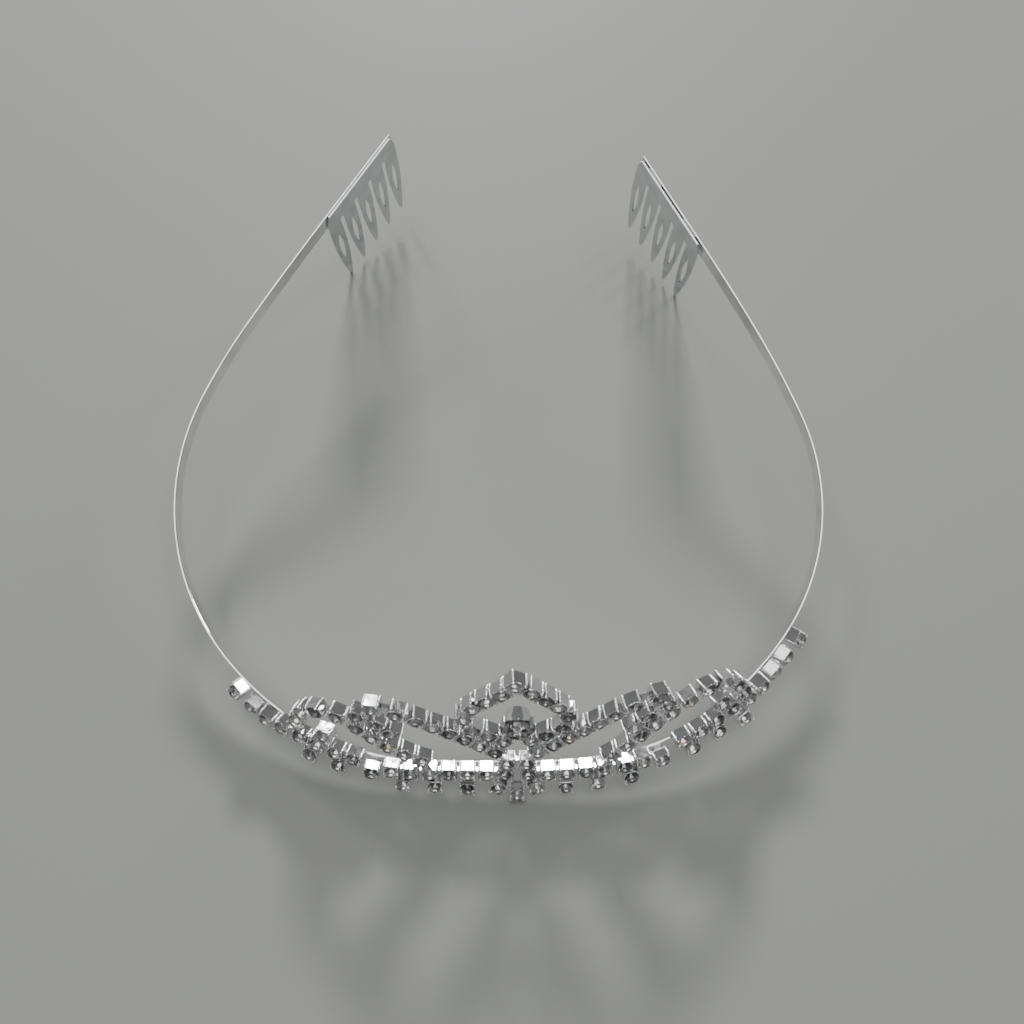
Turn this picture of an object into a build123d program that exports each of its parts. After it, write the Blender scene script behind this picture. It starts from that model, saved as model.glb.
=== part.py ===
from build123d import *
from math import atan2, cos, degrees, radians, sin, tan
import os

# A bridal tiara: a springy steel strip bent to a horseshoe, a comb soldered inside each end,
# and at the front a scroll of square cups, each with a round stone, rising from the strip.
# Work frame: origin over the middle of the horseshoe, +X right, +Y to the back, +Z up.
# Z = 0 is the strip's top edge.  At the end everything is tilted the way the tiara stands.

# ---- driving dimensions, mm and degrees ----
STRIP_HEIGHT = 4.0
STRIP_THICK = 0.5
FRONT_Y = -50.4
FRONT_LEFT = [(18.5, 1), (28, 32), (17, 15)]
FRONT_RIGHT = [(17, 6.5), (21, 26.5), (24.5, 21)]
ARM_LEFT = [(60, 66), (19, 8), (30, 2)]
ARM_RIGHT = [(49.5, 58), (23, 6), (21, 2.3)]
COMB_SEAT = 23.0
PIVOT_LEFT = 67.0
PIVOT_RIGHT = 68.5
PIVOT_CLEAR = STRIP_THICK / 2 + 0.1

COMB_THICK = 0.5
COMB_HEIGHT = 30.0
COMB_PITCH = 5.3
COMB_SHIFT = 0.8
TOOTH_COUNT = 5
TOOTH_WIDTH = 3.8
TOOTH_TIP = 0.8
GAP_TOP = 5.6
LEAF_TOP = 9.3
LEAF_BOTTOM = 21.8
LEAF_WIDTH = 1.5
COMB_GAP_LEFT = 0.1
COMB_GAP_RIGHT = 0.35
PAD_LENGTH = 5.0
PAD_HEIGHT = 3.0
PAD_PLACES = [-7.0, 7.0]

CUP_SIZE = 3.1
CUP_DEPTH = 2.4
BORE_RADIUS = 1.42
BORE_DEPTH = 1.9
POST_RADIUS = 0.24
POST_RISE = 0.5
POST_INSET = 0.1
STONE_RADIUS = 1.5
PITCH = 3.7
TIGHT_PITCH = 3.5
CUP_GAP = 0.12
BACK_GAP = 0.06
LINK_WIDTH = 1.0
LINK_DEPTH = 0.9
LINK_SLACK = 0.02
LINK_LIMIT = 5.0
MARCH_STEPS = 600

LEAN_AT_STRIP = 40.0
LEAN_PER_MM = 0.8
LEAN_TOP = 16.0
LEAN_SHARE = [(46, 1.0), (53, 0.55)]

SOLDER_WIDTH = 1.4
SOLDER_GAP = 0.03
TAB_WIDTH = 2.4
TAB_DROP = 2.2

GEM_RADIUS = 3.2
GEM_HEIGHT = 18.9
GEM_OUT = 0.2
BASKET_DEPTH = 3.4
BASKET_BACK_RADIUS = 2.1
BASKET_RIM_RADIUS = 3.45
BASKET_FLOOR = 0.2
BASKET_WALL = 0.38
PRONG_RADIUS = 0.35
PRONG_START = 2.5
PRONG_LENGTH = 2.0
PRONG_REACH = 3.62
STRUT_SIZE = 0.9

STANCE_TILT = 11.26
STANCE_ROLL = -0.885

FLEX_SIDES = {"left": -1, "right": 1}
RUNS = {
    "left": FRONT_LEFT + ARM_LEFT + [(COMB_SEAT, 0)],
    "right": FRONT_RIGHT + ARM_RIGHT + [(COMB_SEAT, 0)],
}
PIVOTS = {"left": PIVOT_LEFT, "right": PIVOT_RIGHT}


# ---- the strip's path and the leaning surface that carries the cups ----
def side_of(station):
    return "right" if station >= 0 else "left"


def strip_place(station):
    """Point, direction of travel to the right and inward direction, station mm from the centre."""
    side = side_of(station)
    sign = FLEX_SIDES[side]
    left_over = abs(station)
    x = 0.0
    y = FRONT_Y
    heading = 0.0
    for length, turn in RUNS[side]:
        step = min(left_over, length)
        swing = radians(turn) * step / length
        chord = step
        if swing > 0:
            chord = 2 * step / swing * sin(swing / 2)
        x += chord * cos(heading + swing / 2)
        y += chord * sin(heading + swing / 2)
        heading += swing
        left_over -= step
        if left_over <= 0:
            break
    point = Vector(sign * x, y, 0)
    along = Vector(cos(heading), sign * sin(heading), 0)
    inward = Vector(-sign * sin(heading), cos(heading), 0)
    return point, along, inward


def lean_share(station):
    reach = abs(station)
    before, share = LEAN_SHARE[0]
    if reach <= before:
        return share
    for place, value in LEAN_SHARE[1:]:
        if reach <= place:
            return share + (value - share) * (reach - before) / (place - before)
        before, share = place, value
    return share


def surface_place(station, height, out=0.0, share=None):
    """Point and three directions (along, up, out) on the leaning surface."""
    point, along, inward = strip_place(station)
    share = lean_share(station) if share is None else share
    bent = min(height, LEAN_TOP)
    lean_start = radians(share * LEAN_AT_STRIP)
    lean_end = radians(share * (LEAN_AT_STRIP - LEAN_PER_MM * bent))
    radius = 1 / radians(share * LEAN_PER_MM)
    back = radius * (cos(lean_end) - cos(lean_start)) + (height - bent) * sin(lean_end)
    rise = radius * (sin(lean_start) - sin(lean_end)) + (height - bent) * cos(lean_end)
    up = inward * sin(lean_end) + Vector(0, 0, cos(lean_end))
    face = inward * -cos(lean_end) + Vector(0, 0, sin(lean_end))
    place = point + inward * back + Vector(0, 0, rise) + face * out
    return place, along, up, face


def cup_seat(station, height, turn=0, out=BACK_GAP, share=None):
    """Plane on the back of a cup: its X runs along the chain and its Z faces out."""
    place, along, up, face = surface_place(station, height, out, share)
    chain = along * cos(radians(turn)) + up * sin(radians(turn))
    return Plane(origin=place, x_dir=chain, z_dir=face)


def march_cups(knots, count, pitch=PITCH):
    """Seats one after another along a smooth curve through station-height knots, as close
    as the pitch allows, and further apart where the chain bends and corners need room."""
    curve = Spline(*[(station, height) for station, height in knots])
    seats = []
    width = CUP_SIZE + 2 * (POST_RADIUS - POST_INSET)
    for index in range(MARCH_STEPS + 1):
        spot = curve.position_at(index / MARCH_STEPS)
        start, along, up, face = surface_place(spot.X, spot.Y)
        tangent = curve.tangent_at(index / MARCH_STEPS)
        ahead = surface_place(spot.X + 0.1 * tangent.X, spot.Y + 0.1 * tangent.Y)[0] - start
        turn = degrees(atan2(ahead.dot(up), ahead.dot(along)))
        seat = cup_seat(spot.X, spot.Y, turn)
        if seats:
            bend = radians(seats[-1].x_dir.get_angle(seat.x_dir)) / 2
            need = max(pitch, width * (cos(bend) + sin(bend)) + CUP_GAP)
            if (seat.origin - seats[-1].origin).length < need:
                continue
        seats.append(seat)
        if len(seats) == count:
            break
    return seats


def mirror(knots, sign):
    return [(sign * station, height) for station, height in knots]


# ---- where every cup sits ----
layout = {}

# the row along the strip: an inner and an outer run each side
ROW_INNER_COUNT = 7
ROW_START = 2.3
ROW_INNER_HEIGHT = -0.9
ROW_OUTER = {
    "left": [(31.8, 0.5), (35.6, 0.5), (39.4, 0.5), (43.2, 0.2), (47.0, -0.5), (50.8, -1.8), (54.6, -2.0)],
    "right": [
        (33.0, 0.5),
        (36.8, 0.5),
        (40.6, 0.5),
        (44.4, 0.3),
        (48.4, -1.1),
        (52.0, -1.8),
        (55.8, -2.0),
        (59.6, -2.0),
    ],
}
# single cups under the row, and three in a fan at the middle
DROPS = {
    "left": [(9.8, -5.2), (16.2, -4.8), (22.2, -4.6), (28.2, -2.4), (34.4, -3.1), (40.2, -3.4)],
    "right": [(9.4, -5.2), (15.6, -4.8), (21.8, -4.6), (28, -2.4), (34.2, -3.1), (40, -3.1), (45.6, -5.2)],
}
GAP_DROP = 3
TREFOIL_SIDE = (3.75, -5.2, 24)
TREFOIL_LOW = -6.9
STEM = (1.95, 2.65)
# centre loop, a pointed oval: the run on the right starts with the cup at the peak
CENTRE_LOOP = {
    "left": [(2.9, 28.9), (5.4, 26.6), (8.1, 23.8), (9.9, 20.0), (9.3, 16.5), (6.4, 13.7), (3.0, 11.2), (0, 9)],
    "right": [
        (-0.5, 32.1),
        (2.7, 29.5),
        (5.5, 26.7),
        (8.1, 23.8),
        (9.9, 20.0),
        (9.3, 16.5),
        (6.4, 13.7),
        (3.0, 11.2),
        (0, 9),
    ],
}
CENTRE_LOOP_COUNT = {"left": 7, "right": 8}
# leaf: out and up beside the centre loop, round the corner and a short way back
LEAF_UPPER = [(4.15, 6.8), (8.7, 10.4), (14.6, 15.4), (18.9, 18.6), (23.4, 20.6), (28.0, 21.2), (31.6, 19.9)]
LEAF_UPPER.append((33.0, 18.0))
LEAF_RETURN = {
    "left": [(32.2, 16.9), (28.8, 15.6), (25.4, 13.4), (22, 11)],
    "right": [(31.6, 16.4), (28.6, 15.6), (25.4, 13.6), (22, 11)],
}
LEAF_UPPER_COUNT = {"left": 8, "right": 9}
LEAF_RETURN_COUNT = {"left": 3, "right": 3}
# outer loop: from the row up beside the leaf and down to the row again
OUTER_LOOP = {
    "left": [
        (18.4, 3.4),
        (22.0, 5.4),
        (25.6, 7.8),
        (28.6, 9.8),
        (32.2, 12.0),
        (36.6, 13.6),
        (41.2, 11.8),
        (44.2, 8.4),
        (44.9, 4.0),
        (44.9, 1.0),
    ],
    "right": [
        (18.4, 3.4),
        (21.6, 5.7),
        (24.6, 8.2),
        (28.6, 10.8),
        (33.0, 12.4),
        (38.4, 12.9),
        (42.8, 11.6),
        (46.4, 8.8),
        (47.9, 4.4),
        (48, 1.0),
    ],
}
OUTER_LOOP_COUNT = {"left": 9, "right": 10}
EXTRA_CUP = {"left": (38.4, 4.5, -12), "right": (43.0, 4.4, -6)}
END_CUP = {"left": (58.6, -1.4, 8), "right": (63.6, -1.4, 8)}

layout["trefoil"] = [
    cup_seat(-TREFOIL_SIDE[0], TREFOIL_SIDE[1], -TREFOIL_SIDE[2]),
    cup_seat(0, TREFOIL_LOW),
    cup_seat(*TREFOIL_SIDE),
]
layout["stem"] = [cup_seat(-STEM[0], STEM[1]), cup_seat(*STEM)]
for side, sign in FLEX_SIDES.items():
    inner = [(ROW_START + PITCH * step, ROW_INNER_HEIGHT) for step in range(ROW_INNER_COUNT)]
    layout["row_inner_" + side] = [cup_seat(sign * s, v) for s, v in inner]
    layout["row_outer_" + side] = [cup_seat(sign * s, v) for s, v in ROW_OUTER[side]]
    layout["drops_" + side] = [cup_seat(sign * s, v) for s, v in DROPS[side]]
    loop = mirror(CENTRE_LOOP[side], sign)
    layout["centre_loop_" + side] = march_cups(loop, CENTRE_LOOP_COUNT[side], TIGHT_PITCH)
    layout["leaf_upper_" + side] = march_cups(mirror(LEAF_UPPER, sign), LEAF_UPPER_COUNT[side])
    layout["leaf_return_" + side] = march_cups(mirror(LEAF_RETURN[side], sign), LEAF_RETURN_COUNT[side])
    layout["outer_loop_" + side] = march_cups(mirror(OUTER_LOOP[side], sign), OUTER_LOOP_COUNT[side])
    station, height, turn = EXTRA_CUP[side]
    layout["extra_" + side] = [cup_seat(sign * station, height, sign * turn)]
    station, height, turn = END_CUP[side]
    layout["end_" + side] = [cup_seat(sign * station, height, sign * turn, share=1.0)]

# ---- pieces ----
def make_cup():
    """Square cup standing on its back: round bore and four corner posts that hold the stone."""
    body = Box(CUP_SIZE, CUP_SIZE, CUP_DEPTH, align=(Align.CENTER, Align.CENTER, Align.MIN))
    post = Cylinder(POST_RADIUS, CUP_DEPTH + POST_RISE, align=(Align.CENTER, Align.CENTER, Align.MIN))
    corner = CUP_SIZE / 2 - POST_INSET
    for x in (-corner, corner):
        for y in (-corner, corner):
            body += Pos(x, y, 0) * post
    bore = Cylinder(BORE_RADIUS, BORE_DEPTH, align=(Align.CENTER, Align.CENTER, Align.MAX))
    return body - Pos(0, 0, CUP_DEPTH) * bore


def make_stone(radius):
    """Round stone, its girdle just above the rim it rests on; its axis is Z."""
    girdle = 0.076 * radius
    outline = Polyline(
        (0, -0.98 * radius),
        (0.1 * radius, -0.98 * radius),
        (radius, girdle),
        (radius, girdle + 0.07 * radius),
        (0.58 * radius, girdle + 0.42 * radius),
        (0, girdle + 0.42 * radius),
        close=True,
    )
    return revolve(Plane.XZ * make_face(outline), Axis.Z)


CUP = make_cup()
SOLID_CUP = Box(CUP_SIZE, CUP_SIZE, CUP_DEPTH, align=(Align.CENTER, Align.CENTER, Align.MIN))
STONE = Pos(0, 0, CUP_DEPTH) * make_stone(STONE_RADIUS)


def place_on(seat, shape):
    return seat.location * shape


def link_between(first, second):
    """Small bar that joins the facing walls of two neighbouring cups."""
    start = first.origin + first.z_dir * (CUP_DEPTH / 2)
    end = second.origin + second.z_dir * (CUP_DEPTH / 2)
    length = (end - start).length - CUP_SIZE - LINK_SLACK
    way = Plane(origin=(start + end) / 2, x_dir=(end - start), z_dir=first.z_dir + second.z_dir)
    return way.location * Box(length, LINK_WIDTH, LINK_DEPTH)


nodes = {"chain_links": []}


def add_chain(name, seats, linked=True):
    """Two nodes for a chain, the cups and the stones; the bars between cups join chain_links."""
    nodes[name + "_cups"] = [place_on(seat, CUP) for seat in seats]
    nodes[name + "_stones"] = [place_on(seat, STONE) for seat in seats]
    if not linked:
        return
    for first, second in zip(seats, seats[1:]):
        if (second.origin - first.origin).length < LINK_LIMIT:
            bar = link_between(first, second)
            nodes["chain_links"].append(bar - place_on(first, CUP) - place_on(second, CUP))


def strip_between(start, end):
    """The strip from one station to another, its arcs exact, as one solid below Z = 0."""
    marks = [start, end]
    for side, sign in FLEX_SIDES.items():
        reach = 0.0
        for length, turn in RUNS[side]:
            reach += length
            marks.append(sign * reach)
    marks.append(0.0)
    marks = sorted(set(mark for mark in marks if start <= mark <= end))

    def edge(first, last, inset):
        ends = []
        for station in (first, (first + last) / 2, last):
            point, along, inward = strip_place(station)
            ends.append(point + inward * inset)
        bulge = (ends[1] - (ends[0] + ends[2]) / 2).length
        if bulge < 1e-5:
            return Line(ends[0], ends[2])
        return ThreePointArc(*ends)

    outer = [edge(a, b, 0) for a, b in zip(marks, marks[1:])]
    inner = [edge(a, b, STRIP_THICK) for a, b in zip(marks, marks[1:])]
    caps = [Line(outer[0] @ 0, inner[0] @ 0), Line(outer[-1] @ 1, inner[-1] @ 1)]
    face = make_face(outer + inner + caps)
    return extrude(face, STRIP_HEIGHT, dir=(0, 0, -1))


def pivot_point(side):
    point, along, inward = strip_place(FLEX_SIDES[side] * PIVOTS[side])
    return point + inward * (STRIP_THICK / 2)


def make_arm(side):
    sign = FLEX_SIDES[side]
    reach = sum(length for length, turn in RUNS[side])
    ends = sorted([sign * PIVOTS[side], sign * reach])
    knuckle = Cylinder(STRIP_THICK / 2, STRIP_HEIGHT, align=(Align.CENTER, Align.CENTER, Align.MAX))
    return strip_between(*ends) + Pos(pivot_point(side)) * knuckle


def tooth_outline():
    """One comb tooth about X = 0: nearly parallel sides that curve in to a narrow rounded tip."""
    half = TOOTH_WIDTH / 2
    waist = -0.55 * COMB_HEIGHT
    tip = -COMB_HEIGHT
    left = Spline((-half, -GAP_TOP + 1), (-half * 0.98, waist), (-TOOTH_TIP / 2, tip + 0.4))
    right = Spline((half, -GAP_TOP + 1), (half * 0.98, waist), (TOOTH_TIP / 2, tip + 0.4))
    end = ThreePointArc((-TOOTH_TIP / 2, tip + 0.4), (0, tip), (TOOTH_TIP / 2, tip + 0.4))
    top = Line((-half, -GAP_TOP + 1), (half, -GAP_TOP + 1))
    return make_face([left, end, right, top])


def leaf_outline():
    half = LEAF_WIDTH / 2
    widest = -(LEAF_TOP + 0.35 * (LEAF_BOTTOM - LEAF_TOP))
    left = Spline((0, -LEAF_TOP), (-half, widest), (0, -LEAF_BOTTOM))
    right = Spline((0, -LEAF_TOP), (half, widest), (0, -LEAF_BOTTOM))
    return make_face([left, right])


def comb_seat(side):
    """Plane in the comb's middle: X to the back along the strip's end, Y up, Z to the inside."""
    sign = FLEX_SIDES[side]
    reach = sum(length for length, turn in RUNS[side])
    point, along, inward = strip_place(sign * (reach - COMB_SEAT / 2 - COMB_SHIFT))
    gap = COMB_GAP_LEFT if side == "left" else COMB_GAP_RIGHT
    origin = point + inward * (STRIP_THICK + gap)
    return Plane(origin=origin, x_dir=along * sign, z_dir=(along * sign).cross(Vector(0, 0, 1)))


def make_comb(side):
    """Stamped plate: a spine as long as the strip's straight end, and teeth with leaf holes."""
    reach = COMB_PITCH * (TOOTH_COUNT - 1) / 2
    wide = reach + TOOTH_WIDTH / 2
    top = COMB_SEAT / 2
    corners = [(-top, 0), (top, 0), (wide, -3), (wide, -GAP_TOP), (-wide, -GAP_TOP), (-wide, -3)]
    sketch = make_face(Polyline(*corners, close=True))
    for number in range(TOOTH_COUNT):
        sketch += Pos(-reach + number * COMB_PITCH, 0) * tooth_outline()
    gap = COMB_PITCH - TOOTH_WIDTH
    for number in range(TOOTH_COUNT - 1):
        sketch -= Pos(-reach + (number + 0.5) * COMB_PITCH, -GAP_TOP) * Circle(gap / 2)
    for number in range(TOOTH_COUNT):
        sketch -= Pos(-reach + number * COMB_PITCH, 0) * leaf_outline()
    seat = comb_seat(side)
    inside = 1 if (seat.z_dir.dot(strip_inward(side)) > 0) else -1
    return extrude(seat * sketch, COMB_THICK, dir=tuple(seat.z_dir * inside))


def strip_inward(side):
    reach = sum(length for length, turn in RUNS[side])
    return strip_place(FLEX_SIDES[side] * (reach - COMB_SEAT / 2))[2]


def make_comb_solder(side):
    """Two flat solder pads that fill the slit between the strip's end and the comb's spine."""
    seat = comb_seat(side)
    gap = COMB_GAP_LEFT if side == "left" else COMB_GAP_RIGHT
    inward = strip_inward(side)
    pads = []
    for place in PAD_PLACES:
        centre = seat.origin + seat.x_dir * place - inward * (gap / 2)
        centre += Vector(0, 0, -STRIP_HEIGHT / 2 - 0.1)
        pad = Box(PAD_LENGTH, PAD_HEIGHT, gap)
        pads.append(Plane(origin=centre, x_dir=seat.x_dir, z_dir=inward).location * pad)
    return pads


def make_wedge(seat, station, drop, width):
    """Three-cornered fillet between the strip's outer face and the leaning back of a cup."""
    point, along, inward = strip_place(station)
    lean = seat.y_dir.get_angle(Vector(0, 0, 1))
    reach = drop * tan(radians(lean))
    side = Plane(origin=point - along * (width / 2), x_dir=inward * -1, z_dir=along)
    up = 1 if side.y_dir.Z > 0 else -1
    outline = Polyline((SOLDER_GAP, -0.15 * up), (SOLDER_GAP, -drop * up), (reach, -drop * up), close=True)
    return extrude(side * make_face(outline), width, dir=along)


def make_basket(seat, struts_to):
    """Tapering basket for the large stone, with four prongs and a strut to each cup below."""
    grounded = (Align.CENTER, Align.CENTER, Align.MIN)
    shell = Cone(BASKET_BACK_RADIUS, BASKET_RIM_RADIUS, BASKET_DEPTH, align=grounded)
    prong = Cylinder(PRONG_RADIUS, PRONG_LENGTH, align=grounded)
    for angle in (45, 135, 225, 315):
        shell += Rot(0, 0, angle) * Pos(PRONG_REACH, 0, PRONG_START) * prong
    basket = place_on(seat, shell)
    level = BASKET_FLOOR + STRUT_SIZE / 2
    start = seat.origin + seat.z_dir * level
    for cup in struts_to:
        end = cup.origin + cup.z_dir * level
        way = Plane(origin=(start + end) / 2, x_dir=(end - start), z_dir=seat.z_dir)
        strut = way.location * Box((end - start).length, STRUT_SIZE, STRUT_SIZE)
        basket += strut - place_on(cup, SOLID_CUP)
    hollow = BASKET_DEPTH - BASKET_FLOOR
    bore = Cone(BASKET_BACK_RADIUS - BASKET_WALL, BASKET_RIM_RADIUS - BASKET_WALL, hollow, align=grounded)
    return basket - place_on(seat, Pos(0, 0, BASKET_FLOOR) * bore)


# ---- the tiara, node by node ----
nodes["band_front"] = [strip_between(-PIVOT_LEFT + PIVOT_CLEAR, PIVOT_RIGHT - PIVOT_CLEAR)]
for side in FLEX_SIDES:
    nodes["band_arm_" + side] = [make_arm(side)]
    nodes["comb_" + side] = [make_comb(side)]
    nodes["comb_solder_" + side] = make_comb_solder(side)

for name, seats in layout.items():
    single = name.startswith("drops") or name == "trefoil"
    add_chain(name, seats, linked=not single)

# the row's cups, and the drop that hangs alone in the row's gap, are soldered to the strip
fillets = []
tabs = []
for side, sign in FLEX_SIDES.items():
    for step in range(ROW_INNER_COUNT):
        fillets.append((sign * (ROW_START + PITCH * step), ROW_INNER_HEIGHT))
    fillets += mirror(ROW_OUTER[side], sign)
    fillets.append((sign * DROPS[side][GAP_DROP][0], DROPS[side][GAP_DROP][1]))
    station = sign * END_CUP[side][0]
    tabs.append(make_wedge(layout["end_" + side][0], station, TAB_DROP, TAB_WIDTH))
nodes["row_solder"] = []
for station, height in fillets:
    seat = cup_seat(station, height)
    drop = 0.75 * (CUP_SIZE / 2 - height) * cos(radians(seat.y_dir.get_angle(Vector(0, 0, 1))))
    nodes["row_solder"].append(make_wedge(seat, station, drop, SOLDER_WIDTH))
nodes["end_tabs"] = tabs

# the large centre stone in its tapering basket
gem_seat = cup_seat(0, GEM_HEIGHT, out=GEM_OUT)
lowest = [layout["centre_loop_" + side][-1] for side in FLEX_SIDES]
nodes["solitaire_basket"] = [make_basket(gem_seat, lowest)]
gem = Pos(0, 0, BASKET_DEPTH + 0.02) * make_stone(GEM_RADIUS)
nodes["solitaire_stone"] = [place_on(gem_seat, gem)]

# ---- stand the tiara up: tilt it, and put the origin at the middle of its footprint ----
everything = Compound([shape for shapes in nodes.values() for shape in shapes])
tilt = Rot(0, STANCE_ROLL, 0) * Rot(STANCE_TILT, 0, 0)
box = (tilt * everything).bounding_box()
shift = Pos(-(box.min.X + box.max.X) / 2, -(box.min.Y + box.max.Y) / 2, -box.min.Z)
stand = shift * tilt

if __name__ == "__main__":
    os.makedirs("parts", exist_ok=True)
    for name, shapes in nodes.items():
        group = [stand * shape for shape in shapes]
        export_step(Compound(group) if len(group) > 1 else group[0], "parts/" + name + ".step")
    print("size", box.size)
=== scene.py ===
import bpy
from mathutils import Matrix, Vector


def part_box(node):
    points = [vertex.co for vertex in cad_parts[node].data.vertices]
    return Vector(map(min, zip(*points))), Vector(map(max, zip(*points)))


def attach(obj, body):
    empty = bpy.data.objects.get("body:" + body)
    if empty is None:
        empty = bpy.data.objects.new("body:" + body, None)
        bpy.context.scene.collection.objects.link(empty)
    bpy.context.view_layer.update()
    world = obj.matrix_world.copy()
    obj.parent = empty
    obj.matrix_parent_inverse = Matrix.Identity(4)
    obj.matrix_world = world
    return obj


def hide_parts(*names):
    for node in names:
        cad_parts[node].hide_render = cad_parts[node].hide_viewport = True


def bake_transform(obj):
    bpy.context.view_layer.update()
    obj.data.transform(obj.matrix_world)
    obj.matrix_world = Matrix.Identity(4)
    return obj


bl_info = {
    "name": "Bridal Tiara",
    "version": (1, 0, 0),
    "blender": (4, 5, 0),
    "location": "View3D > Sidebar > Tiara",
    "description": "Builds a bridal tiara with faceted stones in square cups on a springy band",
    "category": "Object",
}

import math
import random

import bmesh
import bpy
from bpy.props import FloatProperty, FloatVectorProperty, IntProperty, PointerProperty
from mathutils import Matrix, Vector

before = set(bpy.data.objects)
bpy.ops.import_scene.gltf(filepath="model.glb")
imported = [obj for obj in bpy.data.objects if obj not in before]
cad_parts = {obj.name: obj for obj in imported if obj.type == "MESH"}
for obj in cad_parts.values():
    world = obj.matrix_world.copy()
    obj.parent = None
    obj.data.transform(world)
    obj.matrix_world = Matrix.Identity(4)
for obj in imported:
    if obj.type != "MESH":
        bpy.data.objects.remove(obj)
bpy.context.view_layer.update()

MM = 0.001
SIDES = {"left": -1, "right": 1}

# the strip's path: arcs as (length mm, turn degrees), from the middle of the front to each end
FRONT_Y = -50.4
ARCS = {
    "left": [(18.5, 1), (28, 32), (17, 15), (60, 66), (19, 8), (30, 2), (23, 0)],
    "right": [(17, 6.5), (21, 26.5), (24.5, 21), (49.5, 58), (23, 6), (21, 2.3), (23, 0)],
}
FLEX_STATION = {"left": 67.0, "right": 68.5}
STANCE_TILT = 11.26
STANCE_ROLL = -0.885

# where each arm's strip starts before its flex point, and a length past that point, in mm; the arm is not
# bent
SPLIT_BEFORE = 1.5
BEND_LENGTH = 26.0

# rounding of the strip's long edges, and the step between its sections, in mm
STRIP_EDGE = 0.12
STRIP_STEP = 1.5

# one cup, in mm
CUP_HALF = 1.55
CUP_DEPTH = 2.4
CUP_CHAMFER = 0.07
CUP_SIDES = 24
BORE_RADIUS = 1.42
BORE_DEPTH = 1.9
POST_INSET = 0.1
POST_BEADS = 4
CLAW_INSET = 0.16
CLAW_RISE = 0.24
GRAIN_INSET = 0.3
GRAIN_RISE = 0.02

# stones, in mm
STONE_RADIUS = 1.5
STONE_RISE = 0.12
GEM_RADIUS = 3.2

# proportions of a stone, in shares of its radius
CROWN = 0.40
PAVILION = 0.98
GEM_PAVILION = 1.0
HALF_GIRDLE = 0.035
TABLE_RADIUS = 0.56
BEZEL_RADIUS = 0.80
WAIST_RADIUS = 0.42
CULET_RADIUS = 0.06

# the crown's bezel corners as a share of its rise, and the waist as a share of the depth
BEZEL_RISE = 0.58
WAIST_DEPTH = 0.60

# the CAD stones' tables, above the cup's rim and above the girdle, in shares of the radius
RIM_TO_TABLE = 0.496
GIRDLE_TO_TABLE = 0.42

# how far a hand-set cup or stone leans out of true, in radians
CUP_LEAN = 0.035
STONE_LEAN = 0.07

# a cup's finishes and a stone's, in the order of their materials; the post finish is the plating lightened
# as a painted highlight, the bore finish the plating darkened as painted shade, and the foil carries
# painted glints and dark facets
WALL, POST, BORE = range(3)
GLASS, FOIL = range(2)

# meshes: points closer than WELD are one, and so are strip sections closer than SAME_SPOT;
# FLAT is the bend that a flat face may hide
WELD = 0.002 * MM
SAME_SPOT = 0.01 * MM
FLAT = math.radians(0.6)
BEVEL_ANGLE = math.radians(35)
SHARP_ANGLE = math.radians(30)

# the bevel on solder, as a share of that on stamped edges
SOLDER_BEVEL = 0.5

# the stage: each light's name, place, width and height in metres, and its power in watts
LIGHTS = [
    ("overhead", (0.0, 0.05, 1.00), 1.00, 0.80, 5.2),
    ("back_panel", (-0.08, 2.35, 1.08), 0.56, 0.26, 60.0),
    ("left", (-0.86, 1.50, 1.36), 0.32, 0.32, 8.0),
    ("right", (1.38, 1.16, 0.88), 0.28, 0.40, 5.5),
]
LIGHT_AIM = Vector((0, 0, 0.02))
WORLD_COLOUR = (0.62, 0.63, 0.62, 1.0)
WORLD_STRENGTH = 0.31
FLOOR_REACH = 3.0
FLOOR_ROUGHNESS = 0.6

# the camera: lens in mm, lean from the band's own axis, offset and distance in mm
CAMERA_LENS = 36.04
CAMERA_ANGLE = math.radians(11.0)
CAMERA_X = -1.0
CAMERA_DISTANCE = 212.0


# ---- sizes and colours that can be changed ----
class TiaraSizes(bpy.types.PropertyGroup):
    strip_height: FloatProperty(
        name="Strip height", description="Height of the band", default=4.0 * MM, unit="LENGTH"
    )
    strip_thick: FloatProperty(
        name="Strip thickness", description="Thickness of the band", default=0.5 * MM, unit="LENGTH"
    )
    post_radius: FloatProperty(
        name="Post radius", description="Radius of a cup's corner posts", default=0.22 * MM, unit="LENGTH"
    )
    claw_radius: FloatProperty(
        name="Claw radius", description="Radius of the tips over a stone", default=0.27 * MM, unit="LENGTH"
    )
    grain_radius: FloatProperty(
        name="Grain radius", description="Radius of the grains on a rim", default=0.13 * MM, unit="LENGTH"
    )
    grain_count: IntProperty(
        name="Grains", description="Grains along each side of a rim", default=4, min=1, max=8
    )
    edge_bevel: FloatProperty(
        name="Edge bevel", description="Rounding of stamped edges", default=0.07 * MM, unit="LENGTH"
    )


class TiaraFinish(bpy.types.PropertyGroup):
    plate: FloatVectorProperty(
        name="Plating",
        description="Colour of the bright plating",
        subtype="COLOR",
        default=(0.80, 0.80, 0.81),
    )
    strip: FloatVectorProperty(
        name="Strip", description="Colour of the band", subtype="COLOR", default=(0.86, 0.86, 0.86)
    )
    comb: FloatVectorProperty(
        name="Comb", description="Colour of the combs", subtype="COLOR", default=(0.66, 0.67, 0.68)
    )
    solder: FloatVectorProperty(
        name="Solder", description="Colour of plated solder", subtype="COLOR", default=(0.55, 0.55, 0.56)
    )
    glass: FloatVectorProperty(
        name="Stone glass", description="Tint of the stones", subtype="COLOR", default=(0.97, 0.97, 0.96)
    )
    foil: FloatVectorProperty(
        name="Stone foil",
        description="Colour of the foil behind the stones",
        subtype="COLOR",
        default=(0.74, 0.74, 0.76),
    )
    floor: FloatVectorProperty(
        name="Floor", description="Colour of the floor", subtype="COLOR", default=(0.30, 0.31, 0.295)
    )


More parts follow.
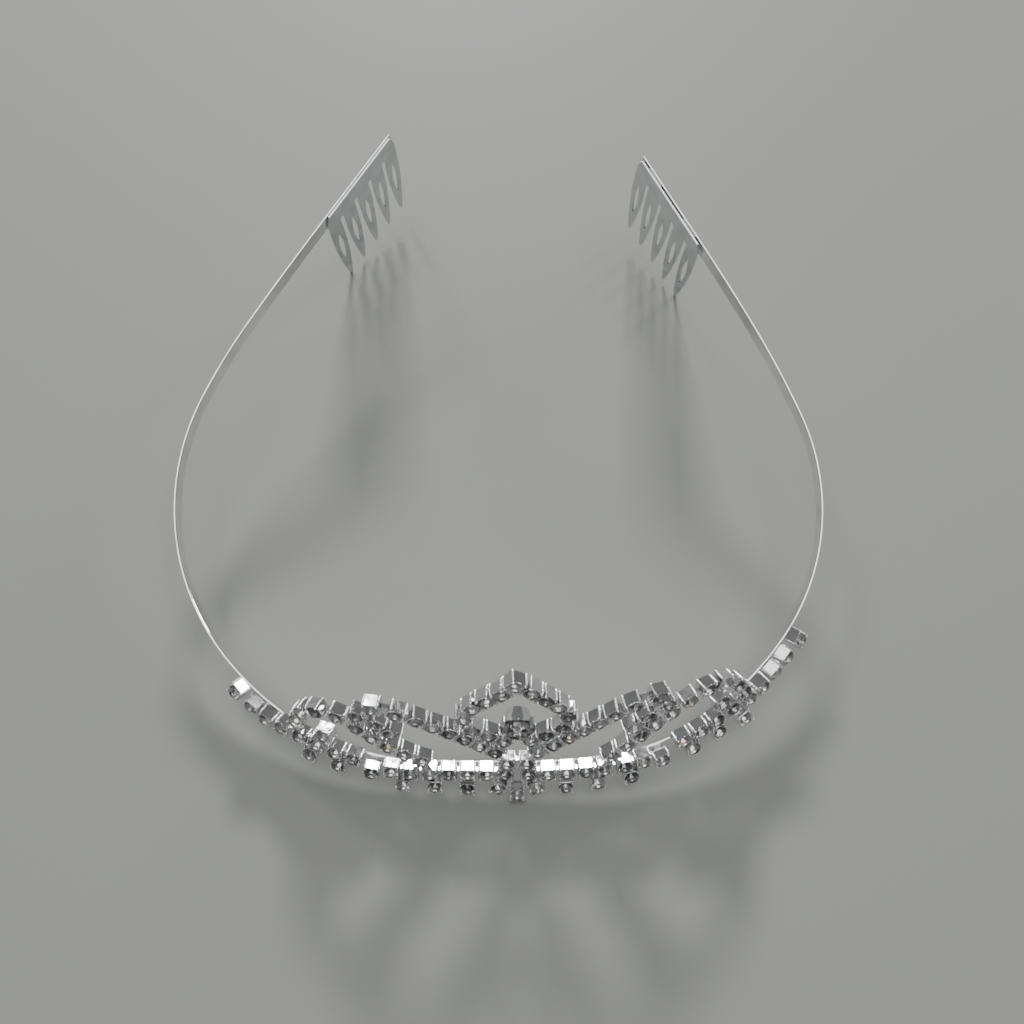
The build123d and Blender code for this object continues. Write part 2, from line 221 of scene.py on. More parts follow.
# ---- materials ----
def socket(group, name, direction, kind, default=None):
    made = group.interface.new_socket(name=name, in_out=direction, socket_type=kind)
    if default is not None:
        made.default_value = default


def blank_material(name):
    """A new material, with its nodes, its links and its shader."""
    material = bpy.data.materials.new(name)
    material.use_nodes = True
    tree = material.node_tree
    return material, tree.nodes, tree.links, tree.nodes["Principled BSDF"]


def handling_marks_group():
    """Fine rubbed marks and a faint film, for every plated surface."""
    name = "handling_marks"
    if name in bpy.data.node_groups:
        return bpy.data.node_groups[name]
    group = bpy.data.node_groups.new(name, "ShaderNodeTree")
    socket(group, "Mark Scale", "INPUT", "NodeSocketFloat", 900.0)
    socket(group, "Stretch", "INPUT", "NodeSocketVector", (1.0, 1.0, 1.0))
    socket(group, "Low", "INPUT", "NodeSocketFloat", 0.05)
    socket(group, "High", "INPUT", "NodeSocketFloat", 0.16)
    socket(group, "Clean", "INPUT", "NodeSocketColor", (0.8, 0.8, 0.8, 1.0))
    socket(group, "Film", "INPUT", "NodeSocketColor", (0.6, 0.6, 0.58, 1.0))
    socket(group, "Color", "OUTPUT", "NodeSocketColor")
    socket(group, "Roughness", "OUTPUT", "NodeSocketFloat")
    socket(group, "Height", "OUTPUT", "NodeSocketFloat")
    nodes, links = group.nodes, group.links
    inside = nodes.new("NodeGroupInput")
    outside = nodes.new("NodeGroupOutput")
    place = nodes.new("ShaderNodeTexCoord")
    stretch = nodes.new("ShaderNodeVectorMath")
    stretch.operation = "MULTIPLY"
    links.new(place.outputs["Object"], stretch.inputs[0])
    links.new(inside.outputs["Stretch"], stretch.inputs[1])
    marks = nodes.new("ShaderNodeTexNoise")
    marks.inputs["Detail"].default_value = 6.0
    marks.inputs["Roughness"].default_value = 0.65
    links.new(stretch.outputs[0], marks.inputs["Vector"])
    links.new(inside.outputs["Mark Scale"], marks.inputs["Scale"])
    rub = nodes.new("ShaderNodeMapRange")
    rub.inputs["From Min"].default_value = 0.35
    rub.inputs["From Max"].default_value = 0.75
    links.new(marks.outputs["Fac"], rub.inputs["Value"])
    links.new(inside.outputs["Low"], rub.inputs["To Min"])
    links.new(inside.outputs["High"], rub.inputs["To Max"])
    links.new(rub.outputs["Result"], outside.inputs["Roughness"])
    links.new(marks.outputs["Fac"], outside.inputs["Height"])
    cloud = nodes.new("ShaderNodeTexNoise")
    cloud.inputs["Scale"].default_value = 260.0
    cloud.inputs["Detail"].default_value = 3.0
    links.new(place.outputs["Object"], cloud.inputs["Vector"])
    patches = nodes.new("ShaderNodeValToRGB")
    patches.color_ramp.elements[0].position = 0.45
    patches.color_ramp.elements[1].position = 0.80
    links.new(cloud.outputs["Fac"], patches.inputs["Fac"])
    mix = nodes.new("ShaderNodeMix")
    mix.data_type = "RGBA"
    links.new(patches.outputs["Color"], mix.inputs["Factor"])
    links.new(inside.outputs["Clean"], mix.inputs["A"])
    links.new(inside.outputs["Film"], mix.inputs["B"])
    links.new(mix.outputs["Result"], outside.inputs["Color"])
    return group


def plated(name, colour, low, high, scale=900.0, stretch=(1.0, 1.0, 1.0), bump=0.05, film=0.8):
    """Bright plating with its own amount of rubbing."""
    if name in bpy.data.materials:
        return bpy.data.materials[name]
    material, nodes, links, shader = blank_material(name)
    shader.inputs["Metallic"].default_value = 1.0
    marks = nodes.new("ShaderNodeGroup")
    marks.node_tree = handling_marks_group()
    marks.inputs["Mark Scale"].default_value = scale
    marks.inputs["Stretch"].default_value = stretch
    marks.inputs["Low"].default_value = low
    marks.inputs["High"].default_value = high
    marks.inputs["Clean"].default_value = (*colour, 1.0)
    marks.inputs["Film"].default_value = (*[part * film for part in colour], 1.0)
    links.new(marks.outputs["Color"], shader.inputs["Base Color"])
    links.new(marks.outputs["Roughness"], shader.inputs["Roughness"])
    relief = nodes.new("ShaderNodeBump")
    relief.inputs["Strength"].default_value = bump
    relief.inputs["Distance"].default_value = 0.05 * MM
    links.new(marks.outputs["Height"], relief.inputs["Height"])
    links.new(relief.outputs["Normal"], shader.inputs["Normal"])
    return material


def finish():
    return bpy.context.scene.tiara_finish


def sizes():
    return bpy.context.scene.tiara_sizes


def wall_metal():
    return plated("cup_wall_plating", finish().plate, 0.03, 0.12, scale=700.0)


# Painted highlight: posts, claw tips, grains, rims and link bars use the plating made 12% lighter.
def post_metal_painted_highlight():
    colour = [min(1.0, part * 1.12) for part in finish().plate]
    return plated("cup_post_painted_highlight", colour, 0.06, 0.2, scale=1500.0)


# Painted shade: the cup's bore uses the plating darkened to 55%, standing in for the shade inside it.
def bore_metal_painted_shade():
    return plated("cup_inside_painted_shade", [part * 0.55 for part in finish().plate], 0.2, 0.4)


def strip_metal():
    along = (0.4, 0.4, 3.0)
    return plated("strip_polish", finish().strip, 0.05, 0.18, scale=500.0, stretch=along, bump=0.08)


def comb_metal():
    return plated("comb_polish", finish().comb, 0.08, 0.24, scale=420.0, stretch=(1.0, 1.0, 0.3), bump=0.1)


def solder_metal():
    return plated("solder_plating", finish().solder, 0.22, 0.45, scale=1600.0, bump=0.5, film=0.7)


def stone_glass():
    """Clear glass with a slight tint and a few faint lines on its facets."""
    name = "stone_glass"
    if name in bpy.data.materials:
        return bpy.data.materials[name]
    material, nodes, links, shader = blank_material(name)
    shader.inputs["Transmission Weight"].default_value = 1.0
    shader.inputs["IOR"].default_value = 1.56
    shader.inputs["Coat Roughness"].default_value = 0.03
    place = nodes.new("ShaderNodeTexCoord")
    smear = nodes.new("ShaderNodeTexNoise")
    smear.inputs["Scale"].default_value = 1200.0
    links.new(place.outputs["Object"], smear.inputs["Vector"])
    rub = nodes.new("ShaderNodeMapRange")
    rub.inputs["To Min"].default_value = 0.0
    rub.inputs["To Max"].default_value = 0.05
    links.new(smear.outputs["Fac"], rub.inputs["Value"])
    links.new(rub.outputs["Result"], shader.inputs["Roughness"])
    tint = nodes.new("ShaderNodeValToRGB")
    tint.color_ramp.elements[0].color = (*[part * 0.93 for part in finish().glass], 1.0)
    tint.color_ramp.elements[1].color = (*finish().glass, 1.0)
    links.new(smear.outputs["Fac"], tint.inputs["Fac"])
    links.new(tint.outputs["Color"], shader.inputs["Base Color"])
    return material


def stone_foil_painted_sparkle():
    """Mirror foil behind a stone, with painted dark facets, painted white glints and a few painted warm
    glints in random cells.
    """
    name = "stone_foil_painted_sparkle"
    if name in bpy.data.materials:
        return bpy.data.materials[name]
    material, nodes, links, shader = blank_material(name)
    shader.inputs["Metallic"].default_value = 1.0
    place = nodes.new("ShaderNodeTexCoord")
    cells = nodes.new("ShaderNodeTexVoronoi")
    cells.inputs["Scale"].default_value = 1100.0
    links.new(place.outputs["Object"], cells.inputs["Vector"])
    split = nodes.new("ShaderNodeSeparateColor")
    links.new(cells.outputs["Color"], split.inputs["Color"])
    tone = nodes.new("ShaderNodeValToRGB")
    tone.color_ramp.interpolation = "CONSTANT"
    # Painted shade: the darkest cells stand in for facets that catch no light.
    painted_dark_facet = [part * 0.40 for part in finish().foil]
    tone.color_ramp.elements[0].color = (*painted_dark_facet, 1.0)
    tone.color_ramp.elements[1].position = 0.30
    tone.color_ramp.elements[1].color = (*finish().foil, 1.0)
    # Painted highlights: near-white cells and a few warm ones stand in for glints.
    bright = tone.color_ramp.elements.new(0.58)
    bright.color = (0.97, 0.97, 0.96, 1.0)
    warm = tone.color_ramp.elements.new(0.975)
    warm.color = (0.92, 0.80, 0.66, 1.0)
    links.new(split.outputs["Red"], tone.inputs["Fac"])
    links.new(tone.outputs["Color"], shader.inputs["Base Color"])
    rough = nodes.new("ShaderNodeMapRange")
    rough.inputs["To Min"].default_value = 0.03
    rough.inputs["To Max"].default_value = 0.28
    links.new(split.outputs["Green"], rough.inputs["Value"])
    links.new(rough.outputs["Result"], shader.inputs["Roughness"])
    return material


# ---- reading the frame ----
def islands(node):
    """The separate solids of a CAD node, each as {normal: [area, points]} for its flat faces."""
    shape = bmesh.new()
    shape.from_mesh(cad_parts[node].data)
    bmesh.ops.remove_doubles(shape, verts=shape.verts, dist=WELD)
    shape.faces.ensure_lookup_table()
    shape.faces.index_update()
    seen = set()
    found = []
    for first in shape.faces:
        if first.index in seen:
            continue
        seen.add(first.index)
        waiting = [first]
        flats = {}
        while waiting:
            face = waiting.pop()
            key = tuple(round(part, 2) for part in face.normal)
            entry = flats.setdefault(key, [0.0, Vector(), []])
            area = face.calc_area()
            entry[0] += area
            entry[1] += face.normal * area
            entry[2] += [vert.co.copy() for vert in face.verts]
            for edge in face.edges:
                for near in edge.link_faces:
                    if near.index not in seen:
                        seen.add(near.index)
                        waiting.append(near)
        found.append(flats)
    shape.free()
    return found


def middle_of(points):
    spots = {tuple(round(part / MM, 3) for part in point): point for point in points}
    return sum(spots.values(), Vector()) / len(spots)


def facing(flats):
    """The way that a stone looks and the middle of its table, which is its largest flat face."""
    area, normal, points = max(flats.values(), key=lambda entry: entry[0])
    return normal.normalized(), middle_of(points)


def seats_of(chain):
    """One matrix for each cup of a chain: Z out through the stone, X square to a wall."""
    cups = []
    for flats in islands(chain + "_cups"):
        points = [point for entry in flats.values() for point in entry[2]]
        cups.append((middle_of(points), flats))
    seats = []
    for flats in islands(chain + "_stones"):
        out, table = facing(flats)
        back = table - out * (RIM_TO_TABLE * STONE_RADIUS + CUP_DEPTH) * MM
        near = min(cups, key=lambda cup: (cup[0] - back - out * MM).length)
        walls = [entry for entry in near[1].values() if abs(entry[1].normalized().dot(out)) < 0.1]
        wall = max(walls, key=lambda entry: entry[0])[1]
        across = (wall - out * wall.dot(out)).normalized()
        turn = Matrix((across, out.cross(across), out)).transposed()
        seats.append(Matrix.Translation(back) @ turn.to_4x4())
    return seats


# ---- the strip's path ----
def path_place(side, station):
    """Point and inward direction on the strip's top outer edge, before it is stood up, in mm."""
    sign = SIDES[side]
    left_over = station
    x = 0.0
    y = FRONT_Y
    heading = 0.0
    for length, turn in ARCS[side]:
        step = min(left_over, length)
        swing = math.radians(turn) * step / length
        chord = step
        if swing > 0:
            chord = 2 * step / swing * math.sin(swing / 2)
        x += chord * math.cos(heading + swing / 2)
        y += chord * math.sin(heading + swing / 2)
        heading += swing
        left_over -= step
        if left_over <= 0:
            break
    return Vector((sign * x, y, 0.0)), Vector((-sign * math.sin(heading), math.cos(heading), 0.0))


def stand_matrix():
    """How the band leans as it stands, set so that its box meets the CAD band's box."""
    tilt = Matrix.Rotation(math.radians(STANCE_TILT), 4, "X")
    lean = Matrix.Rotation(math.radians(STANCE_ROLL), 4, "Y") @ tilt
    drop = Vector((0, 0, -4))
    stations = [step * 0.25 for step in range(240)]
    arm = [lean @ path_place("left", step * 0.5)[0] for step in range(134, 391)]
    front = [lean @ path_place(side, station)[0] for side in SIDES for station in stations]
    under = [lean @ (path_place(side, station)[0] + drop) for side in SIDES for station in stations]
    arm_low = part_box("band_arm_left")[0]
    front_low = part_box("band_front")[0]
    west = arm_low[0] / MM - min(spot.x for spot in arm)
    south = front_low[1] / MM - min(spot.y for spot in front)
    lift = front_low[2] / MM - min(spot.z for spot in under)
    return Matrix.Translation((west, south, lift)) @ lean


STAND = stand_matrix()


def stood(point):
    return (STAND @ point) * MM


# ---- building helpers ----
class Bits:
    """Corners and faces of a small shape that is set down many times."""

    def __init__(self):
        self.points = []
        self.faces = []
        self.finishes = []
        self.rounded = []

    def face(self, corners, finish_number=0, rounded=False):
        self.faces.append(tuple(corners))
        self.finishes.append(finish_number)
        self.rounded.append(rounded)

    def ring(self, points):
        start = len(self.points)
        self.points += [Vector(point) for point in points]
        return list(range(start, start + len(points)))

    def circle(self, radius, height, count, offset=0.0):
        """A ring of corners on a circle, with sizes in mm and the offset in corners."""
        spots = []
        for step in range(count):
            angle = 2 * math.pi * (step + offset) / count
            spots.append((radius * math.cos(angle) * MM, radius * math.sin(angle) * MM, height * MM))
        return self.ring(spots)

    def bridge(self, lower, upper, finish_number=0, rounded=False):
        count = len(lower)
        for step in range(count):
            after = (step + 1) % count
            self.face((lower[step], lower[after], upper[after], upper[step]), finish_number, rounded)

    def add(self, other, matrix):
        start = len(self.points)
        self.points += [matrix @ point for point in other.points]
        for corners, number, soft in zip(other.faces, other.finishes, other.rounded):
            self.face([start + corner for corner in corners], number, soft)

    def to_object(self, name, materials, body, nodes):
        """Makes the mesh, with a material for each finish number, and puts it on its body."""
        mesh = bpy.data.meshes.new(name)
        mesh.from_pydata(self.points, [], self.faces)
        for material in materials:
            mesh.materials.append(material)
        mesh.polygons.foreach_set("material_index", self.finishes)
        mesh.polygons.foreach_set("use_smooth", self.rounded)
        mesh.update()
        put(bpy.data.objects.new(name, mesh), body, nodes)


def put(piece, body, nodes):
    """Places a finished piece on its body, in place of its CAD nodes."""
    bpy.context.scene.collection.objects.link(piece)
    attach(piece, body)
    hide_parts(*nodes)
    return piece


def lathe(profile, count, finish_number):
    """A smooth turned shape from (radius, height) pairs in mm, closed at both ends."""
    bits = Bits()
    rings = [bits.circle(radius, height, count) for radius, height in profile]
    for lower, upper in zip(rings, rings[1:]):
        bits.bridge(lower, upper, finish_number, True)
    bits.face(reversed(rings[0]), finish_number, True)
    bits.face(rings[-1], finish_number, True)
    return bits


def ball_profile(radius, steps):
    """Outline of a ball round its own centre, with its two ends cut just flat."""
    pairs = []
    for step in range(steps + 1):
        angle = math.pi * (step + 0.5) / (steps + 1) - math.pi / 2
        pairs.append((radius * math.cos(angle), radius * math.sin(angle)))
    return pairs


def square_ring(bits, half, height):
    """A ring of corners on a square, in line with those of a circle half a corner round."""
    corners = []
    for step in range(CUP_SIDES):
        angle = 2 * math.pi * (step + 0.5) / CUP_SIDES
        reach = half / max(abs(math.cos(angle)), abs(math.sin(angle)))
        corners.append((reach * math.cos(angle) * MM, reach * math.sin(angle) * MM, height * MM))
    return bits.ring(corners)


def cup_body():
    """Square cup with broken edges, flat polished walls and a round bore."""
    bits = Bits()
    back_edge = square_ring(bits, CUP_HALF - CUP_CHAMFER, 0.0)
    levels = [back_edge, square_ring(bits, CUP_HALF, CUP_CHAMFER)]
    levels.append(square_ring(bits, CUP_HALF, CUP_DEPTH - CUP_CHAMFER))
    levels.append(square_ring(bits, CUP_HALF - CUP_CHAMFER, CUP_DEPTH))
    for lower, upper in zip(levels, levels[1:]):
        bits.bridge(lower, upper, WALL)
    bits.face(reversed(back_edge), WALL)
    rim = bits.circle(BORE_RADIUS, CUP_DEPTH, CUP_SIDES, 0.5)
    floor = bits.circle(BORE_RADIUS, CUP_DEPTH - BORE_DEPTH, CUP_SIDES, 0.5)
    bits.bridge(levels[-1], rim, POST)
    bits.bridge(rim, floor, BORE, True)
    bits.face(floor, BORE)
    return bits


def post_profile(radius):
    """Outline of a corner post with beads along it."""
    profile = [(radius * 0.8, 0.0)]
    step = CUP_DEPTH / POST_BEADS
    for bead in range(POST_BEADS):
        start = CUP_DEPTH * bead / POST_BEADS
        profile.append((radius * 0.82, start + 0.06))
        profile += [(radius, start + 0.3 * step), (radius, start + 0.75 * step)]
    profile.append((radius * 0.85, CUP_DEPTH))
    return profile


def cup_shape():
    """A cup with its beaded corner posts, a claw over each post and grains along the rim."""
    size = sizes()
    bits = cup_body()
    post = lathe(post_profile(size.post_radius / MM), 8, POST)
    tip = lathe(ball_profile(size.claw_radius / MM, 5), 8, POST)
    grain = lathe(ball_profile(size.grain_radius / MM, 3), 6, POST)
    corner = CUP_HALF - POST_INSET
    reach = corner - CLAW_INSET
    for x in (-1, 1):
        for y in (-1, 1):
            bits.add(post, Matrix.Translation((x * corner * MM, y * corner * MM, 0)))
            spot = Vector((x * reach * MM, y * reach * MM, (CUP_DEPTH + CLAW_RISE) * MM))
            bits.add(tip, Matrix.Translation(spot) @ Matrix.Diagonal((1.0, 1.0, 0.95, 1.0)))
    for step in range(size.grain_count):
        along = (step + 0.5) / size.grain_count * 2 - 1
        for quarter in range(4):
            turn = Matrix.Rotation(quarter * math.pi / 2, 4, "Z")
            spot = Vector((along * (corner - GRAIN_INSET) * MM, corner * MM, (CUP_DEPTH + GRAIN_RISE) * MM))
            bits.add(grain, turn @ Matrix.Translation(spot))
    return bits


def brilliant(radius, rise, depth, turns=8):
    """Round stone cut as a brilliant: its girdle at Z = 0, the crown in glass, the back in foil."""
    bits = Bits()

    def half(edge, middle_ring, end_ring, number, flip):
        """The facets from the girdle to the table or the culet."""
        for step in range(turns):
            after = (step + 1) % turns
            before = (step - 1) % turns
            a, b, c = edge[2 * step], edge[2 * step + 1], edge[(2 * step + 2) % (2 * turns)]
            faces = [(a, b, middle_ring[step]), (b, c, middle_ring[step])]
            faces.append((end_ring[step], middle_ring[step], end_ring[after]))
            faces.append((end_ring[step], middle_ring[before], a, middle_ring[step]))
            for corners in faces:
                bits.face(reversed(corners) if flip else corners, number)

    upper = bits.circle(radius, HALF_GIRDLE * radius, 2 * turns)
    lower = bits.circle(radius, -HALF_GIRDLE * radius, 2 * turns)
    bits.bridge(lower, upper, GLASS)
    table = bits.circle(TABLE_RADIUS * radius, rise, turns)
    bezel = bits.circle(BEZEL_RADIUS * radius, rise * BEZEL_RISE, turns, 0.5)
    half(upper, bezel, table, GLASS, False)
    bits.face(table, GLASS)
    waist = bits.circle(WAIST_RADIUS * radius, -depth * WAIST_DEPTH, turns, 0.5)
    culet = bits.circle(CULET_RADIUS * radius, -depth, turns)
    half(lower, waist, culet, FOIL, True)
    bits.face(reversed(culet), FOIL)
    return bits


def softened(node, name, material, body, bevel):
    """A copy of a stamped or soldered shape with its edges broken."""
    shape = bmesh.new()
    shape.from_mesh(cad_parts[node].data)
    bmesh.ops.remove_doubles(shape, verts=shape.verts, dist=WELD)
    bmesh.ops.dissolve_limit(shape, angle_limit=FLAT, verts=shape.verts, edges=shape.edges)
    mesh = bpy.data.meshes.new(name)
    shape.to_mesh(mesh)
    shape.free()
    mesh.materials.clear()
    mesh.materials.append(material)
    piece = put(bpy.data.objects.new(name, mesh), body, [node])
    rounding = piece.modifiers.new("broken edges", "BEVEL")
    rounding.width = bevel
    rounding.segments = 2
    rounding.limit_method = "ANGLE"
    rounding.angle_limit = BEVEL_ANGLE
    rounding.use_clamp_overlap = True
    rounding.harden_normals = True
    for face in mesh.polygons:
        face.use_smooth = False


def tilt_by(luck, most):
    """A small random lean about X, then about Y."""
    about_x = Matrix.Rotation(luck.uniform(-most, most), 4, "X")
    about_y = Matrix.Rotation(luck.uniform(-most, most), 4, "Y")
    return about_x @ about_y


def seed_of(chain):
    """A number of its own for each chain's random draws."""
    return len(chain) * 31 + ord(chain[-1]) * 7 + ord(chain[0])


def build_chain(chain):
    """The cups of one chain and their stones, each set by hand and so a little out of true."""
    luck = random.Random(seed_of(chain))
    cup = cup_shape()
    stone = brilliant(STONE_RADIUS, CROWN * STONE_RADIUS, PAVILION * STONE_RADIUS)
    cups = Bits()
    stones = Bits()
    centre = Matrix.Translation((0, 0, CUP_DEPTH / 2 * MM))
    up = Matrix.Translation((0, 0, (CUP_DEPTH + STONE_RISE) * MM))
    for seat in seats_of(chain):
        seat = seat @ centre @ tilt_by(luck, CUP_LEAN) @ centre.inverted()
        cups.add(cup, seat)
        turn = Matrix.Rotation(luck.uniform(0, math.pi), 4, "Z")
        stones.add(stone, seat @ up @ tilt_by(luck, STONE_LEAN) @ turn)
    metals = [wall_metal(), post_metal_painted_highlight(), bore_metal_painted_shade()]
    cups.to_object("cups_" + chain, metals, "front", [chain + "_cups"])
    glass = [stone_glass(), stone_foil_painted_sparkle()]
    stones.to_object("stones_" + chain, glass, "front", [chain + "_stones"])


def strip_outline():
    """Section of the strip as (inward, up) pairs in mm, its long edges rounded."""
    thick = sizes().strip_thick / MM
    high = sizes().strip_height / MM
    soft = STRIP_EDGE
    outline = [(soft, 0), (thick - soft, 0), (thick, -soft), (thick, -high + soft), (thick - soft, -high)]
    return outline + [(soft, -high), (0, -high + soft), (0, -soft)]


def strip_piece(name, runs, node):
    """A length of strip along runs of (side, from station, to station), in place of a CAD node."""
    outline = strip_outline()
    bits = Bits()
    rings = []
    for side, start, end in runs:
        count = max(2, int(abs(end - start) / STRIP_STEP))
        for step in range(count + 1):
            point, inward = path_place(side, start + (end - start) * step / count)
            ring = [stood(point + inward * across + Vector((0, 0, up))) for across, up in outline]
            if rings and (ring[0] - bits.points[rings[-1][0]]).length < SAME_SPOT:
                continue
            rings.append(bits.ring(ring))
    for lower, upper in zip(rings, rings[1:]):
        bits.bridge(lower, upper, 0)
    bits.face(reversed(rings[0]), 0)
    bits.face(rings[-1], 0)
    mesh = bpy.data.meshes.new(name)
    mesh.from_pydata(bits.points, [], bits.faces)
    mesh.materials.append(strip_metal())
    shape = bmesh.new()
    shape.from_mesh(mesh)
    bmesh.ops.recalc_face_normals(shape, faces=shape.faces)
    shape.to_mesh(mesh)
    shape.free()
    mesh.polygons.foreach_set("use_smooth", [True] * len(mesh.polygons))
    mesh.set_sharp_from_angle(angle=SHARP_ANGLE)
    piece = bpy.data.objects.new(name, mesh)
    bpy.context.scene.collection.objects.link(piece)
    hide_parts(node)
    return piece


# ---- the stage ----
def lay_floor():
    mesh = bpy.data.meshes.new("floor")
    far = FLOOR_REACH
    mesh.from_pydata([(-far, -far, 0), (far, -far, 0), (far, far, 0), (-far, far, 0)], [], [(0, 1, 2, 3)])
    floor = bpy.data.objects.new("floor", mesh)
    bpy.context.scene.collection.objects.link(floor)
    material, *_, shader = blank_material("plain_floor")
    shader.inputs["Base Color"].default_value = (*finish().floor, 1.0)
    shader.inputs["Roughness"].default_value = FLOOR_ROUGHNESS
    mesh.materials.append(material)


def hang_light(name, place, width, height, power):
    """A rectangular soft light that looks at the tiara."""
    lamp = bpy.data.lights.new(name, "AREA")
    lamp.shape = "RECTANGLE"
    lamp.size = width
    lamp.size_y = height
    lamp.energy = power
    holder = bpy.data.objects.new(name, lamp)
    holder.location = place
    holder.rotation_euler = (LIGHT_AIM - Vector(place)).to_track_quat("-Z", "Y").to_euler()
    bpy.context.scene.collection.objects.link(holder)


def fill_world():
    world = bpy.data.worlds.new("studio")
    bpy.context.scene.world = world
    world.use_nodes = True
    background = world.node_tree.nodes["Background"]
    background.inputs["Color"].default_value = WORLD_COLOUR
    background.inputs["Strength"].default_value = WORLD_STRENGTH


def set_camera():
    """A camera above the band, leaning a little to its front."""
    lens = bpy.data.cameras.new("camera")
    lens.lens = CAMERA_LENS
    lens.sensor_width = 36.0
    lens.clip_start = 0.01
    camera = bpy.data.objects.new("camera", lens)
    away = Vector((0, -math.sin(CAMERA_ANGLE), math.cos(CAMERA_ANGLE)))
    upward = Vector((0, math.cos(CAMERA_ANGLE), math.sin(CAMERA_ANGLE)))
    turn = Matrix((upward.cross(away), upward, away)).transposed().to_4x4()
    seat = STAND @ Matrix.Translation(Vector((CAMERA_X, 0, 0)) + away * CAMERA_DISTANCE) @ turn
    seat.translation *= MM
    camera.matrix_world = seat
    bpy.context.scene.collection.objects.link(camera)
    bpy.context.scene.camera = camera


# ---- one operator for each piece or group of like pieces, and one for the stage ----
class TIARA_OT_stage(bpy.types.Operator):
    """Plain floor, soft lights and the camera"""

    bl_idname = "tiara.stage"
    bl_label = "Stage"

    def execute(self, context):
        lay_floor()
        for light in LIGHTS:
            hang_light(*light)
        fill_world()
        set_camera()
        return {"FINISHED"}


class TIARA_OT_band(bpy.types.Operator):
    """The springy strip: the front, and an arm each side, split from it where it leaves the cups"""

    bl_idname = "tiara.band"
    bl_label = "Band"

    def execute(self, context):
        split = {side: FLEX_STATION[side] - SPLIT_BEFORE for side in SIDES}
        runs = [("left", split["left"], 0.0), ("right", 0.0, split["right"])]
        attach(strip_piece("band_front_strip", runs, "band_front"), "front")
        for side in SIDES:
            total = sum(length for length, turn in ARCS[side])
            name = "band_arm_strip_" + side
            arm = strip_piece(name, [(side, split[side], total)], "band_arm_" + side)
            start = stood(path_place(side, split[side])[0])
            end = stood(path_place(side, split[side] + BEND_LENGTH)[0])
            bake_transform(arm)
        return {"FINISHED"}


class TIARA_OT_combs(bpy.types.Operator):
    """The two stamped combs and the solder that holds them"""

    bl_idname = "tiara.combs"
    bl_label = "Combs"

    def execute(self, context):
        bevel = sizes().edge_bevel
        for side in SIDES:
            body = "arm_" + side
            pads = "comb_pads_" + side
            softened("comb_" + side, "comb_plate_" + side, comb_metal(), body, bevel)
            softened("comb_solder_" + side, pads, solder_metal(), body, bevel * SOLDER_BEVEL)
        return {"FINISHED"}


class TIARA_OT_row(bpy.types.Operator):
    """The row of cups along the band, and the end cups"""

    bl_idname = "tiara.row"
    bl_label = "Row"

    def execute(self, context):
        for side in SIDES:
            for chain in ("row_inner_", "row_outer_", "end_"):
                build_chain(chain + side)
        return {"FINISHED"}


class TIARA_OT_drops(bpy.types.Operator):
    """The single cups under the row and the fan of three at the middle"""

    bl_idname = "tiara.drops"
    bl_label = "Drops"

    def execute(self, context):
        for chain in ("drops_left", "drops_right", "trefoil"):
            build_chain(chain)
        return {"FINISHED"}


class TIARA_OT_centre_loop(bpy.types.Operator):
    """The pointed loop at the middle and its stem"""

    bl_idname = "tiara.centre_loop"
    bl_label = "Centre loop"

    def execute(self, context):
        build_chain("stem")
        for side in SIDES:
            build_chain("centre_loop_" + side)
        return {"FINISHED"}


class TIARA_OT_leaves(bpy.types.Operator):
    """The leaf each side of the centre loop"""

    bl_idname = "tiara.leaves"
    bl_label = "Leaves"

    def execute(self, context):
        for side in SIDES:
            build_chain("leaf_upper_" + side)
            build_chain("leaf_return_" + side)
        return {"FINISHED"}


class TIARA_OT_outer_loops(bpy.types.Operator):
    """The outer loop each side, with the single cup inside it"""

    bl_idname = "tiara.outer_loops"
    bl_label = "Outer loops"

    def execute(self, context):
        for side in SIDES:
            build_chain("outer_loop_" + side)
            build_chain("extra_" + side)
        return {"FINISHED"}


class TIARA_OT_joins(bpy.types.Operator):
    """The small bars between cups, and the solder and tabs that hold them to the strip"""

    bl_idname = "tiara.joins"
    bl_label = "Joins"

    def execute(self, context):
        bevel = sizes().edge_bevel
        softened("chain_links", "link_bars", post_metal_painted_highlight(), "front", bevel)
        softened("row_solder", "row_fillets", solder_metal(), "front", bevel * SOLDER_BEVEL)
        softened("end_tabs", "end_brackets", wall_metal(), "front", bevel)
        return {"FINISHED"}


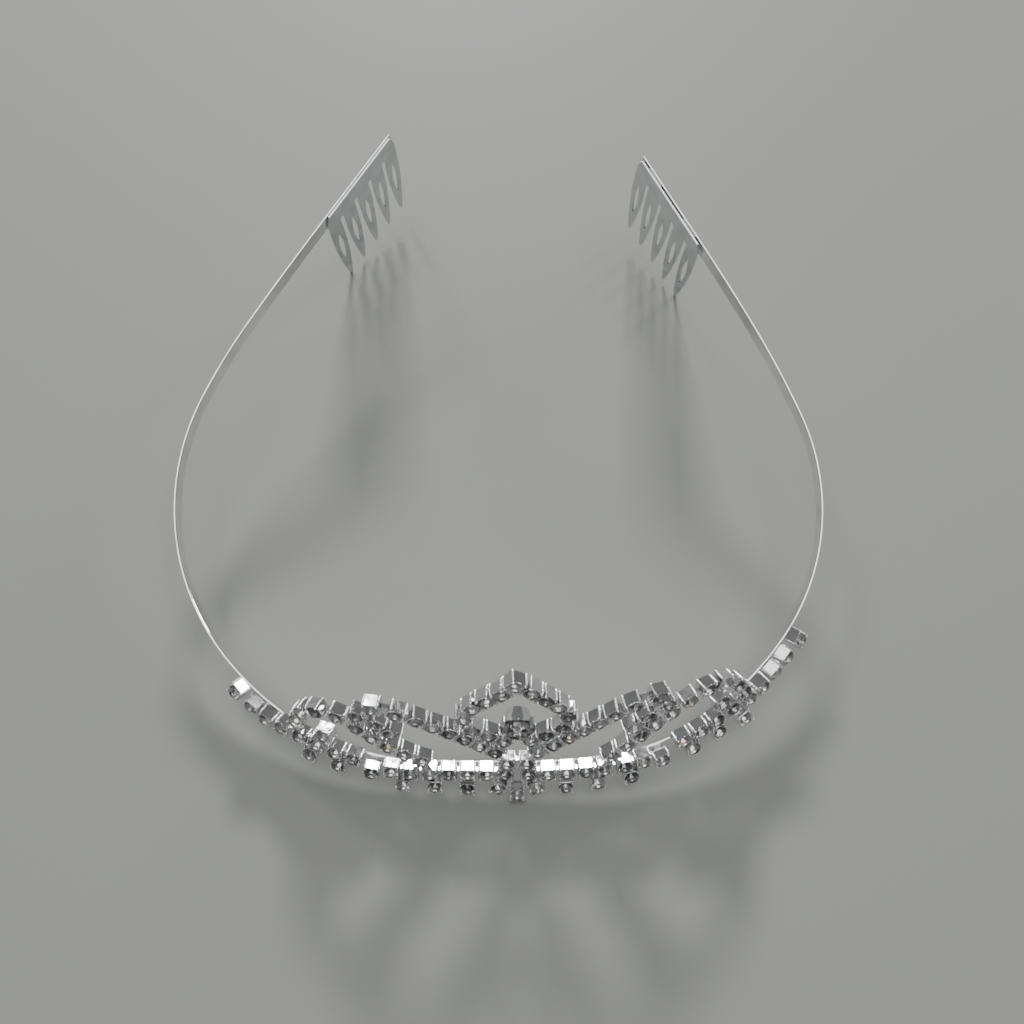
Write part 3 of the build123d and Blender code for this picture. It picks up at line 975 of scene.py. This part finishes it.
class TIARA_OT_large_stone(bpy.types.Operator):
    """The large stone at the middle and its tapering basket"""

    bl_idname = "tiara.large_stone"
    bl_label = "Large stone"

    def execute(self, context):
        bevel = sizes().edge_bevel
        softened("solitaire_basket", "large_basket", wall_metal(), "front", bevel)
        for flats in islands("solitaire_stone"):
            out, table = facing(flats)
            across = out.orthogonal().normalized()
            turn = Matrix((across, out.cross(across), out)).transposed().to_4x4()
            girdle = table - out * GIRDLE_TO_TABLE * GEM_RADIUS * MM
            stones = Bits()
            stone = brilliant(GEM_RADIUS, CROWN * GEM_RADIUS, GEM_PAVILION * GEM_RADIUS)
            stones.add(stone, Matrix.Translation(girdle) @ turn)
            glass = [stone_glass(), stone_foil_painted_sparkle()]
            stones.to_object("large_stone", glass, "front", ["solitaire_stone"])
        return {"FINISHED"}


class TIARA_PT_panel(bpy.types.Panel):
    """Builds the tiara piece by piece"""

    bl_idname = "TIARA_PT_panel"
    bl_label = "Tiara"
    bl_space_type = "VIEW_3D"
    bl_region_type = "UI"
    bl_category = "Tiara"

    def draw(self, context):
        for group in (context.scene.tiara_sizes, context.scene.tiara_finish):
            for name in group.__annotations__:
                self.layout.prop(group, name)
        for operator in OPERATORS:
            self.layout.operator(operator.bl_idname)


OPERATORS = [
    TIARA_OT_stage,
    TIARA_OT_band,
    TIARA_OT_combs,
    TIARA_OT_row,
    TIARA_OT_drops,
    TIARA_OT_centre_loop,
    TIARA_OT_leaves,
    TIARA_OT_outer_loops,
    TIARA_OT_joins,
    TIARA_OT_large_stone,
]
CLASSES = [TiaraSizes, TiaraFinish] + OPERATORS + [TIARA_PT_panel]


def register():
    for item in CLASSES:
        bpy.utils.register_class(item)
    bpy.types.Scene.tiara_sizes = PointerProperty(type=TiaraSizes)
    bpy.types.Scene.tiara_finish = PointerProperty(type=TiaraFinish)


def unregister():
    del bpy.types.Scene.tiara_finish
    del bpy.types.Scene.tiara_sizes
    for item in reversed(CLASSES):
        bpy.utils.unregister_class(item)


def main():
    register()
    for operator in OPERATORS:
        family, name = operator.bl_idname.split(".")
        getattr(getattr(bpy.ops, family), name)()
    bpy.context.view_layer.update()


if __name__ == "__main__":
    main()
